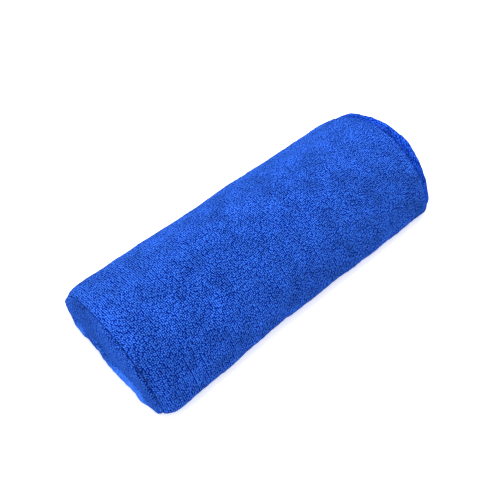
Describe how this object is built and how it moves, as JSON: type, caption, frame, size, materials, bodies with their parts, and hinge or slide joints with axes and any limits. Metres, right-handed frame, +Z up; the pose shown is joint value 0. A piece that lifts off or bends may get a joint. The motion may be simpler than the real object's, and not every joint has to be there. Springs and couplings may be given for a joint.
{
  "type": "lumbar support cushion",
  "caption": "Half-round foam support cushion in a removable towelling cover, with domed end panels and a zip along its rear bottom edge.",
  "frame": {"origin": "middle of the flat base, on the surface that the cushion rests on", "axes": "+X along the cushion, +Y to the zipped rear edge, +Z up to the crown"},
  "size_m": [0.309, 0.1384, 0.058],
  "materials": {
    "towelling": "looped knit towelling, short pile, royal blue",
    "liner_cloth": "thin white non-woven cloth",
    "foam": "open-cell polyurethane foam, off-white",
    "thread": "twisted polyester sewing thread, royal blue",
    "zip_tape": "woven polyester tape, royal blue",
    "zip_coil": "nylon monofilament coil, royal blue",
    "zip_metal": "die-cast zinc, enamelled royal blue"
  },
  "bodies": {
    "cushion": {"base_panel": "towelling", "crown_panel": "towelling", "foam_core": "foam", "front_seam_thread": "thread", "left_end_panel": "towelling", "left_end_seam_thread": "thread", "liner_end_left": "liner_cloth", "liner_end_right": "liner_cloth", "liner_sleeve": "liner_cloth", "rear_seam_thread_left": "thread", "rear_seam_thread_right": "thread", "right_end_panel": "towelling", "right_end_seam_thread": "thread", "zip_bottom_stop": "zip_metal", "zip_coil_lower": "zip_coil", "zip_coil_upper": "zip_coil", "zip_stitching_lower": "thread", "zip_stitching_upper": "thread", "zip_tape_lower": "zip_tape", "zip_tape_upper": "zip_tape", "zip_top_stop_lower": "zip_metal", "zip_top_stop_upper": "zip_metal"},
    "zip_slider": {"zip_slider": "zip_metal"},
    "zip_pull": {"zip_pull_tab": "zip_metal"}
  },
  "joints": [
    {"name": "zip_slide", "type": "slide", "parent": "cushion", "child": "zip_slider", "axis": [-1, 0, 0], "range_m": [0, 0.229], "deforming": ["zip_coil_upper", "zip_coil_lower"]},
    {"name": "pull_tab_swing", "type": "hinge", "parent": "zip_slider", "child": "zip_pull", "pos_m": [0.1157, 0.0688, 0.009], "axis": [0, 0, 1], "range_deg": [-170, 0]}
  ]
}
